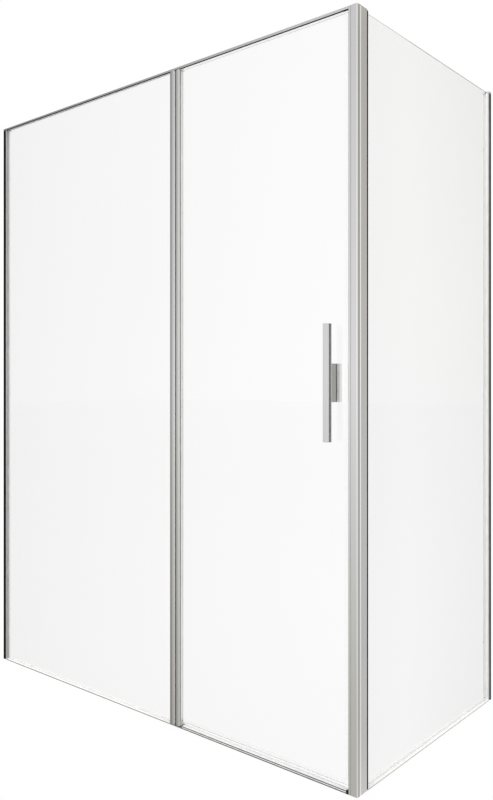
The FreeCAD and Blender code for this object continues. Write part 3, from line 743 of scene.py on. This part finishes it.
@dataclass
class Mullion(SubAssembly):
    """Upright that holds the free edge of the fixed pane."""

    finishes = {
        "mullion": BRIGHT_PROFILE.drawn(Axis.Z),
        "mullion_cap": PLATED_CAP,
        "mullion_gasket_outer": GREY_GASKET.drawn(Axis.Z),
        "mullion_gasket_inner": MILKY_GASKET.drawn(Axis.Z),
    }


@dataclass
class HeadRail(SubAssembly):
    """Slim rail over the front, its black rubber strips with a hanging lip, partly real seal and partly painted
    shade under the rail, and the drip edge over the door.
    """

    lip_root: float = 0.0046
    lip_tip: float = 0.0038
    lip_round: float = 0.0004
    fixed_drop: float = 0.0012
    door_drop: float = 0.0020
    fixed_end: float = 0.1064
    door_start: float = 0.1592
    edge_drop: float = 0.0011
    edge_width: float = 0.0011

    finishes = {
        "top_rail": BRIGHT_PROFILE.drawn(Axis.X),
        # Black strips and the near-black end block: real seals that also stand in for the shade under the rail,
        # and painted shade.
        "rail_seal_fixed": BLACK_RUBBER.drawn(Axis.X),
        "rail_seal_door": BLACK_RUBBER.drawn(Axis.X),
        "rail_filler_fixed": MILKY_GASKET.drawn(Axis.X),
        "rail_filler_door": MILKY_GASKET.drawn(Axis.X),
        "rail_end_block": SHADE_BLACK_STEEL,
        "top_pivot_bracket": STEEL,
        "top_pivot_pin": STEEL,
    }

    def build(self) -> None:
        """A tapered lip with round edges along each strip, and a bright edge in front of the one at the door.

        Both lips end short of the mullion and of the reach of the stile's back corner as the door swings.
        """
        spans = (
            ("fixed", self.fixed_drop, -math.inf, self.fixed_end),
            ("door", self.door_drop, self.door_start, math.inf),
        )
        for part, drop, first, last in spans:
            low, high = box_of(f"rail_seal_{part}")
            start, stop = max(low[0], first), min(high[0], last)
            lip = self.hang(drop, self.lip_tip, self.lip_root, (start, low[1], low[2]), stop - start)
            # Black lips: real seal lips, whose drop also adds painted shade under the rail.
            self.add(f"rail_lip_{part}", lip, Slot.BLACK_RUBBER, BLACK_RUBBER.drawn(Axis.X))
        low, _ = box_of("top_rail")
        edge = self.hang(
            self.edge_drop, self.edge_width, self.edge_width, (start, low[1], low[2]), stop - start
        )
        self.add("rail_drip_edge", edge, Slot.PROFILE, BRIGHT_PROFILE.drawn(Axis.X))

    def hang(self, drop: float, tip: float, root: float, start: Point, length: float) -> Surface:
        """Strip that tapers from root to tip over its drop, with round lower corners, carried to the right."""
        corners = [(0.0, 0.0), (0.0, -drop), (tip, -drop), (root, 0.0)]
        return carry_right(round_corners(corners, dict.fromkeys((1, 2), self.lip_round)), start, length)


@dataclass
class CornerPost(SubAssembly):
    """Door jamb with a grey strip in its groove as painted groove shade, and side glazing post with a round
    rubber bead.
    """

    slot_depth: float = 0.012
    tongue: float = 0.007
    bead_round: float = 0.0018
    edge_round: float = 0.0004
    groove_offset: float = 0.007
    line_half: float = 0.00055
    line_front: float = 0.0003
    line_back: float = 0.0011

    finishes = {
        "corner_jamb": BRIGHT_PROFILE.drawn(Axis.Z),
        "side_post": BRIGHT_PROFILE.drawn(Axis.Z),
        "corner_cap": PLATED_CAP,
        "jamb_magnet": MAGNET_STRIP,
        "side_gasket_inner": BLACK_RUBBER.drawn(Axis.Z),
    }

    def build(self) -> None:
        """Bead with round corners and a tongue behind it, and the grey strip of painted shade in the jamb's
        groove, carried upward.
        """
        low, high = box_of("side_gasket_outer")
        slot, tongue, (height, reach, rise) = self.slot_depth, self.tongue, high - low
        corners = [(0.0, 0.0), (reach, 0.0), (reach, height), (slot, height), (slot, tongue), (0.0, tongue)]
        turned = dict.fromkeys(range(len(corners)), self.edge_round) | {2: self.bead_round}
        bead = carry(round_corners(corners, turned), low, (0.0, 0.0, rise), BACK, RIGHT)
        piece = self.add("side_bead_outer", bead, Slot.BLACK_RUBBER, BLACK_RUBBER.drawn(Axis.Z))
        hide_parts("side_gasket_outer")
        low, high = box_of("corner_jamb")
        half, front, back = self.line_half, self.line_front, self.line_back
        outline = np.array([(-half, front), (half, front), (half, back), (-half, back)])
        line = carry_up(outline, (low[0] + self.groove_offset, low[1], low[2]), high[2] - low[2])
        # Grey strip: painted shade in the jamb's groove.
        self.add("jamb_groove_shade", line, Slot.GREY_GASKET, GREY_GASKET.drawn(Axis.Z))


@dataclass
class Threshold(SubAssembly):
    """Raised threshold with two dark strips in its front grooves as painted groove shade, and the foot plate
    with the lower pivot.
    """

    line_spacing: float = 0.0054
    line_half: float = 0.0013
    root_half: float = 0.0010
    root_depth: float = 0.0012
    line_proud: float = 0.0004
    line_round: float = 0.0002

    finishes = {
        "threshold": COATED_THRESHOLD,
        "threshold_end_seal": BLACK_RUBBER.drawn(Axis.X),
        "pivot_foot": STEEL,
        "bottom_pivot_pin": STEEL,
        "thrust_washer": BEARING_PLASTIC,
    }

    def build(self) -> None:
        """Two flat dark strips on triangular roots, carried along the grooves in the threshold's front as
        painted shade.
        """
        low, high = box_of("threshold")
        half, root, proud, middle = self.line_half, self.root_half, -self.line_proud, (low[2] + high[2]) / 2
        corners = [
            (proud, -half), (0.0, -half), (0.0, -root), (self.root_depth, 0.0),
            (0.0, root), (0.0, half), (proud, half),
        ]
        outline = round_corners(corners, dict.fromkeys((0, 3, 6), self.line_round))
        for name, side in (("lower", -0.5), ("upper", 0.5)):
            start = (low[0], low[1], middle + side * self.line_spacing)
            line = carry_right(outline, start, high[0] - low[0])
            # Charcoal strips: painted shade in the threshold's front grooves.
            self.add(f"threshold_line_{name}", line, Slot.GREY_GASKET, CHARCOAL_GASKET_AND_SHADE.drawn(Axis.X))


@dataclass
class Door(SubAssembly):
    """Pivot door: hinge stile with a dark and milky gasket, pane, closing seal and drip seal."""

    body = Body.DOOR
    nose_depth: float = 0.0034
    nose_round: float = 0.0005
    wall: float = 0.0012
    leg: float = 0.010
    glass: float = 0.006
    leg_round: float = 0.0005
    web_round: float = 0.0004
    heel_round: float = 0.0008
    fin_root: float = 0.0018
    fin_tip: float = 0.0007
    fin_inset: float = 0.0009
    fin_bow: float = 0.0022
    fin_end: float = 0.003
    steps: int = 12

    finishes = {
        "door_glass": GLASS,
        "hinge_stile": BRIGHT_PROFILE.drawn(Axis.Z),
        "stile_cap_bottom": PLATED_CAP,
        "stile_cap_top": PLATED_CAP,
        "bottom_bush": BEARING_PLASTIC,
        "top_bush": BEARING_PLASTIC,
        "stile_gasket_inner": MILKY_GASKET.drawn(Axis.Z),
        "door_magnet": MAGNET_STRIP,
    }

    def build(self) -> None:
        """Stile gasket, closing seal and drip seal."""
        self.build_stile_gasket()
        self.build_closing_seal()
        low, high = box_of("door_bottom_seal")
        seal = carry_right(self.drip_outline(float(high[2] - low[2])), low, high[0] - low[0])
        piece = self.add("drip_seal", seal, Slot.CLEAR_SEAL, CLEAR_VINYL.drawn(Axis.X))
        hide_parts("door_bottom_seal")

    def build_stile_gasket(self) -> None:
        """Dark nose and milky root: two rectangles, each with a round front corner, carried upward. The grey
        nose is painted shade beside the stile, and the milky root the painted lit part of the same gasket.
        """
        low, high = box_of("stile_gasket_outer")
        nose, (width, depth, rise) = self.nose_depth, high - low
        strips = (
            # Lit and shaded parts of one gasket, painted as a milky root and a grey nose.
            ("stile_gasket_root", nose, depth, Slot.MILKY_GASKET, MILKY_GASKET.drawn(Axis.Z)),
            ("stile_gasket_nose", 0.0, nose, Slot.GREY_GASKET, GREY_GASKET.drawn(Axis.Z)),
        )
        for name, near, far, slot, finish in strips:
            corners = [(0.0, near), (width, near), (width, far), (0.0, far)]
            strip = carry_up(round_corners(corners, {1: self.nose_round}), low, rise)
            piece = self.add(name, strip, slot, finish)
        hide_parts("stile_gasket_outer")

    def build_closing_seal(self) -> None:
        """Clip over the pane's free edge and cover over the magnet: two U-shaped outlines, carried upward."""
        low, high = box_of("door_magnet_seal")
        end, deep, rise = high - low
        edge = self.leg + self.wall
        shapes = (
            ("cover", edge, end, end - self.wall, self.wall, (1, 2)),
            ("clip", 0.0, edge, self.leg + AIR, self.wall - AIR, (0, 3)),
        )
        for name, near, far, floor, wall, turned in shapes:
            corners = [
                (near, 0.0), (far, 0.0), (far, deep), (near, deep),
                (near, deep - wall), (floor, deep - wall), (floor, wall), (near, wall),
            ]
            outline = round_corners(corners, dict.fromkeys(turned, self.nose_round))
            seal = carry_up(outline, low, rise)
            piece = self.add(f"closing_seal_{name}", seal, Slot.CLEAR_SEAL, CLEAR_VINYL.drawn(Axis.Z))
        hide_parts("door_magnet_seal")

    def drip_outline(self, top: float) -> Array:
        """Outline of the drip seal, in depth and height from its front lower corner.

        A clip with two round-tipped legs stands on a web. From the web's back the fin follows the parabola
        (1 - s)^2 P + 2 s (1 - s) Q + s^2 R, and tapers from its root to its tip.

        Args:
            top: height of the legs' tips.

        Returns:
            The points of the outline, anticlockwise.
        """
        web = top - self.leg
        across, root, lining = self.glass + 2 * self.wall, web - self.wall, self.wall - AIR
        s = np.linspace(0, 1, self.steps)[:, None]
        spots = ((across - self.fin_inset, root), (across, self.fin_bow), (self.fin_end, 0.0))
        start, bow, tip = (np.array([spot]) for spot in spots)
        middle = (1 - s) ** 2 * start + 2 * s * (1 - s) * bow + s**2 * tip
        half = (self.fin_root + (self.fin_tip - self.fin_root) * s) / 2
        slope = np.gradient(middle, axis=0)
        normal = np.stack([-slope[:, 1], slope[:, 0]], -1) / np.linalg.norm(slope, axis=1)[:, None]
        room = np.array([across, np.inf])
        inner, outer = (np.clip(middle + side * normal * half, 0.0, room) for side in (1.0, -1.0))
        corners = [
            (across, root), (across, top), (across - lining, top), (across - lining, web - AIR),
            (lining, web - AIR), (lining, top), (0.0, top), (0.0, root),
        ]
        turned = dict.fromkeys((1, 2, 5, 6), self.leg_round) | dict.fromkeys((3, 4), self.web_round)
        clip = round_corners(corners, turned | {7: self.heel_round})
        return np.concatenate([clip, outer[1:], inner[::-1][:-1]])


@dataclass
class Handle(SubAssembly):
    """Flat bar on a block outside, flared grip inside, and the socket bolts that clamp them to the pane."""

    body = Body.DOOR
    head_radius: float = 0.005
    head_height: float = 0.004
    shank_radius: float = 0.003
    socket: float = 0.002
    socket_depth: float = 0.0026
    socket_point: float = 0.0003
    chamfer: float = 0.0004
    columns: int = 72
    flare: float = 0.0026
    flare_end: float = 0.0002

    finishes = {
        "handle_bar": HANDLE_METAL,
        "handle_block": HANDLE_METAL,
        "handle_inner_grip": GRIP_METAL,
        "handle_gasket_outer": CHARCOAL_GASKET_AND_SHADE.drawn(Axis.Z),
        "handle_gasket_inner": MILKY_GASKET.drawn(Axis.Z),
        "handle_sleeve_lower": BEARING_PLASTIC,
        "handle_sleeve_upper": BEARING_PLASTIC,
    }

    def bolt(self, base: Point, shank: float) -> Surface:
        """Socket bolt, its head towards +Y.

        Every ring is round but for those of the socket, where the radius at angle t is the half width over
        the flats divided by cos(t), with t taken from the middle of the nearest flat.

        Args:
            base: centre of the underside of the head.
            shank: length of the shank.

        Returns:
            The bolt as a closed surface.
        """
        t = 2 * np.pi * np.arange(self.columns) / self.columns
        flat = np.mod(t + np.pi / 6, np.pi / 3) - np.pi / 6
        hexagon, ring = self.socket / np.cos(flat), np.ones(self.columns)
        head, neck, top, cut = self.head_radius, self.shank_radius, self.head_height, self.chamfer
        floor = top - self.socket_depth
        rings = [
            (0 * ring, floor - self.socket_point), (hexagon, floor), (hexagon, top - cut / 2),
            (hexagon + cut / 2, top), ((head - cut) * ring, top), (head * ring, top - cut), (head * ring, 0.0),
            (neck * ring, 0.0), (neck * ring, -shank), (0 * ring, -shank),
        ]
        radius = np.stack([reach for reach, _ in rings])
        height = np.broadcast_to(np.array([[level] for _, level in rings]), radius.shape)
        return turn(radius, height, base, BACK, UP)

    def build(self) -> None:
        """Socket bolts in the place of the plain ones, and gasketed wedges that flare the grip to the glass."""
        for end in ("lower", "upper"):
            low, high = box_of(f"handle_bolt_{end}")
            x, _, z = (low + high) / 2
            face = float(high[1]) - self.head_height
            bolt = self.bolt((float(x), face, float(z)), face - float(low[1]))
            piece = self.add(f"socket_bolt_{end}", bolt, Slot.STEEL, SCREW_STEEL)
            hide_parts(f"handle_bolt_{end}")
        low, high = box_of("handle_inner_grip")
        near, far = box_of("handle_gasket_inner")
        flare, (_, depth, height), thick = self.flare, high - low, far[1] - near[1]
        corners = [(0.0, 0.0), (flare, 0.0), (self.flare_end, depth), (0.0, depth)]
        cheek = round_corners(corners, {1: self.flare_end, 2: self.flare_end / 2})
        rim, rise = np.array([(0.0, 0.0), (flare, 0.0), (flare, thick), (0.0, thick)]), (0.0, 0.0, height)
        for name, edge, out in (("left", low[0], LEFT), ("right", high[0], RIGHT)):
            wedge = carry(cheek, (edge, low[1], low[2]), rise, out, BACK)
            self.add(f"grip_cheek_{name}", wedge, Slot.HANDLE_METAL, GRIP_METAL)
            pad = carry(rim, (edge, near[1], low[2]), rise, out, BACK)
            self.add(f"grip_gasket_{name}", pad, Slot.MILKY_GASKET, MILKY_GASKET.drawn(Axis.Z))


@dataclass(frozen=True)
class FloorPaint(Finish):
    """Pale floor: white to the eye, with the object's shadow kept in it."""

    shine: float = 0.95
    patch: Point = (0.4, 0.4, 0.4)
    shades: Span = (0.90, 0.92)

    def paint(self, nodes: Nodes) -> None:
        """White light for rays from the camera and through glass, mixed with a pale matt floor.

        A mirrored ray goes through to the studio below, so that metal shows the same sides low down as high up.

        Args:
            nodes: the material's node tree.
        """
        path = nodes.add("LightPath").outputs
        tones = nodes.ramp(nodes.grain(self.patch), zip(NOISE, map(grey, self.shades)))
        share = nodes.sum_up("MULTIPLY", nodes.seen(path), self.shine)
        floor = nodes.blend(share, nodes.out("BsdfDiffuse", {"Color": tones}), nodes.out("Emission"))
        mirrored = nodes.sum_up("GREATER_THAN", path["Glossy Depth"], 0.5)
        nodes.show(nodes.blend(mirrored, floor, nodes.out("BsdfTransparent")))


@dataclass(frozen=True)
class SoftLamp:
    """Square soft lamp that lights surfaces but isn't mirrored in them."""

    name: str
    place: Point
    aim: Point
    width: float
    power: float

    def hang(self) -> None:
        """Hang the lamp at its place, turned towards its aim."""
        lamp = bpy.data.lights.new(self.name, "AREA")
        lamp.size, lamp.energy = self.width, self.power
        holder = bpy.data.objects.new(self.name, lamp)
        x, y, z = np.asarray(self.aim) - np.asarray(self.place)
        holder.location = self.place
        holder.rotation_euler = (math.atan2(math.hypot(x, y), -z), 0.0, math.atan2(-x, y))
        holder.visible_glossy = holder.visible_transmission = holder.visible_camera = False
        bpy.context.scene.collection.objects.link(holder)


@dataclass
class Studio:
    """Floor, soft light from all round with dark sides, two soft lamps, and the camera."""

    floor_half: float = 30.0
    floor_drop: float = 0.0005
    lamps: tuple[SoftLamp, ...] = (
        SoftLamp("head_lamp", (0.2, -0.2, 4.6), (0.0, 0.0, 0.0), 4.0, 75.0),
        SoftLamp("front_lamp", (-2.6, -4.4, 3.2), (0.0, 0.0, 0.9), 3.0, 50.0),
    )
    eye: Point = (1.79624, -2.08528, 1.02235)
    turn_left: float = 40.93
    lens: float = 36.03
    sensor: float = 36.0
    shift: Span = (0.02625, -0.0236)
    bands: tuple[Span, ...] = (
        (-180.0, 0.85), (-150.0, 1.0), (-108.0, 1.0), (-94.0, 0.5), (-84.0, 0.1), (-66.0, 0.1),
        (-58.0, 0.27), (-51.0, 0.39), (-45.0, 0.50), (-38.0, 0.65), (-33.0, 0.76), (-15.0, 1.0),
        (70.0, 1.0), (95.0, 1.0), (112.0, 0.8), (125.0, 0.58), (140.0, 0.45), (146.0, 0.35),
        (148.7, 0.39), (151.7, 0.60), (157.6, 0.46), (160.0, 0.76), (166.0, 0.80), (180.0, 0.85),
    )
    warmth: Colour = (1.0, 0.984, 0.92)
    front_tiers: tuple[Point, ...] = (
        (-1.0, 0.5, 1.0), (-0.4, 0.64, 1.0), (-0.05, 0.955, 0.0),
        (0.0, 1.0, 0.0), (0.4, 0.83, 0.0), (1.0, 1.0, 0.0),
    )
    side_tiers: tuple[Point, ...] = (
        (-1.0, 1.5, 0.2), (-0.55, 1.4, 0.2), (-0.4, 1.0, 0.2), (-0.1, 1.0, 0.15),
        (0.1, 0.965, 0.8), (0.4, 0.86, 1.0), (0.55, 1.4, 1.0), (1.0, 1.5, 1.0),
    )
    back_tiers: tuple[Point, ...] = (
        (-1.0, 0.97, 0.0), (-0.3, 0.97, 0.0), (-0.18, 0.1, 0.0), (0.18, 0.1, 0.0), (0.3, 1.0, 0.0),
    )
    side_share: tuple[Span, ...] = ((60.0, 0.0), (110.0, 1.0))
    back_share: tuple[Span, ...] = ((-155.0, 0.0), (-150.0, 1.0), (-115.0, 1.0), (-100.0, 0.0))

    def build(self) -> None:
        """Set up the stage, the light and the camera."""
        bpy.context.scene.view_settings.view_transform = "Standard"
        self.lay_floor()
        self.light_room()
        for lamp in self.lamps:
            lamp.hang()
        self.set_camera()

    def lay_floor(self) -> None:
        """Flat floor just under the object: corner (i, j) is at (±half, ±half), half a millimetre down."""
        ends = [-self.floor_half, self.floor_half]
        x, y = np.meshgrid(ends, ends, indexing="ij")
        points = np.stack([x, y, np.full_like(x, -self.floor_drop)], -1).reshape(-1, 3)
        mesh = bpy.data.meshes.new("studio_floor")
        mesh.from_pydata(points.tolist(), [], [(0, 2, 3, 1)])
        mesh.materials.append(FloorPaint("studio_floor").material())
        floor = bpy.data.objects.new("studio_floor", mesh)
        bpy.context.scene.collection.objects.link(floor)

    def around(self, nodes: Nodes, share: Socket, stops: Sequence[Span]) -> Socket:
        """Grey level by compass angle, which the share counts from 0 at -180 degrees to 1 at 180."""
        return nodes.ramp(share, (((angle + 180) / 360, grey(level)) for angle, level in stops))

    def tier(self, nodes: Nodes, height: Socket, tiers: Sequence[Point]) -> Socket:
        """Colour by height: each stop has a height from -1 to 1, a level and a share of the warm tint."""
        shades = ((z, level * (1 - share * (1 - np.array(self.warmth)))) for z, level, share in tiers)
        return nodes.ramp(height, (((z + 1) / 2, tuple(shade)) for z, shade in shades))

    def light_room(self) -> None:
        """World that is white to the eye and through glass, and a studio with dark sides to what it lights.

        The level is read from the compass angle atan2(x, -y) of a direction, 0 at the front and positive
        to the right, times a level read from its height, which differs for the right side and the back left.
        """
        world = bpy.data.worlds.new("studio")
        bpy.context.scene.world = world
        world.use_nodes = True
        nodes = Nodes(world.node_tree)
        path, way = nodes.add("LightPath").outputs, nodes.add("TexCoord").outputs["Generated"]
        x, y, z = nodes.add("SeparateXYZ", {0: way}).outputs
        angle = nodes.sum_up("ARCTAN2", x, nodes.sum_up("MULTIPLY", y, -1.0))
        share = nodes.sum_up("MULTIPLY_ADD", angle, 1 / (2 * math.pi), 0.5)
        height = nodes.sum_up("MULTIPLY_ADD", z, 0.5, 0.5)
        levels = self.tier(nodes, height, self.front_tiers)
        for tiers, stops in ((self.side_tiers, self.side_share), (self.back_tiers, self.back_share)):
            sources = {0: self.around(nodes, share, stops), 6: levels, 7: self.tier(nodes, height, tiers)}
            levels = nodes.add("Mix", sources, data_type="RGBA").outputs[2]
        room = nodes.sum_up("MULTIPLY", self.around(nodes, share, self.bands), levels, kind="VectorMath")
        direct = nodes.sum_up("LESS_THAN", path["Glossy Depth"], 0.5)
        plain = nodes.sum_up("MULTIPLY", nodes.seen(path), direct)
        colour = nodes.sum_up("MAXIMUM", room, plain, kind="VectorMath")
        nodes.show(nodes.out("Background", {"Color": colour}), "World")

    def set_camera(self) -> None:
        """Level camera at the photograph's viewpoint."""
        camera = bpy.data.cameras.new("camera")
        camera.lens, camera.sensor_width = self.lens, self.sensor
        camera.shift_x, camera.shift_y = self.shift
        holder = bpy.data.objects.new("camera", camera)
        holder.location = self.eye
        holder.rotation_euler = (math.pi / 2, 0.0, math.radians(self.turn_left))
        bpy.context.scene.collection.objects.link(holder)
        bpy.context.scene.camera = holder


def main() -> None:
    """Build and dress every sub-assembly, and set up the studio."""
    logging.basicConfig(level=logging.INFO, format="%(message)s")
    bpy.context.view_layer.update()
    _, front_high = box_of("wall_channel_front")
    side_low, _ = box_of("wall_channel_side")
    parts: list[SubAssembly] = [
        WallFixing(
            name="front",
            seat=(front_high[0] - SCREW_INSET, front_high[1], 0.0),
            outward=BACK,
            gaskets=("glazing_gasket_front_low", "glazing_gasket_front_high"),
            channel=dark_channel("front", FRONT_COAT_FROM, Axis.Y, True),
            profile=SATIN_PROFILE.drawn(Axis.Z),
            outer_gasket=GREY_GASKET.drawn(Axis.Z),
        ),
        WallFixing(
            name="side",
            seat=(side_low[0], side_low[1] + SCREW_INSET, 0.0),
            outward=LEFT,
            gaskets=("glazing_gasket_side_high", "glazing_gasket_side_low"),
            channel=dark_channel("side", SIDE_COAT_TO, Axis.X, False),
            profile=MATT_PROFILE.drawn(Axis.Z),
            outer_gasket=MILKY_GASKET.drawn(Axis.Z),
        ),
        Screen("fixed", Axis.X, bead_high=0.0022),
        Mullion(),
        Screen("side", Axis.Y, bead_high=0.0036),
        HeadRail(),
        CornerPost(),
        Threshold(),
        Door(),
        Handle(),
    ]
    for part in parts:
        log.info("building %s", type(part).__name__)
        part.build()
        part.dress()
    Studio().build()


if __name__ == "__main__":
    main()
